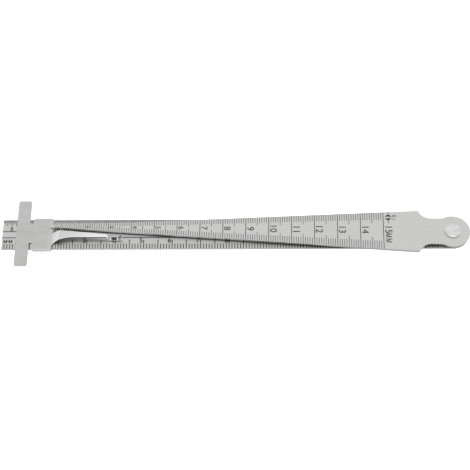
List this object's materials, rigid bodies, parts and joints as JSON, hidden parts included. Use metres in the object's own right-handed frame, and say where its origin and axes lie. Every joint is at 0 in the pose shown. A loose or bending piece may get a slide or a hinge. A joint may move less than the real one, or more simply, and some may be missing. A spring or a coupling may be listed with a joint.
{
  "type": "weld gap gauge",
  "caption": "Folding steel gauge: a tapered width blade riveted on a rounded-end millimetre rule, with a sliding sheet clip that has a depth crossbar and a spring finger.",
  "frame": {"origin": "rivet's axis, on the plane that the gauge rests on, which is the flat face of the rivet's back head and of the clip's lips", "axes": "+X along the rule from its zero end towards the rivet, +Y across the rule, +Z out of the scale faces"},
  "size_m": [0.1646, 0.0268, 0.0038],
  "materials": {
    "satin_stainless": "satin, finely brushed, with engraved black scales",
    "rivet_stainless": "bright, closed cold",
    "spring_stainless": "bright rolled spring sheet"
  },
  "bodies": {
    "rule": {"rule": "satin_stainless", "pivot_rivet": "rivet_stainless", "pivot_washer": "satin_stainless"},
    "blade": {"taper_blade": "satin_stainless"},
    "clip": {"slide_clip": "spring_stainless"}
  },
  "joints": [
    {"name": "blade_swing", "type": "hinge", "parent": "rule", "child": "blade", "pos_m": [0, 0, 0.002], "axis": [0, 0, -1], "range_deg": [0, 355]},
    {"name": "clip_slide", "type": "slide", "parent": "rule", "child": "clip", "axis": [1, 0, 0], "range_m": [-0.00495, 0.014]}
  ]
}
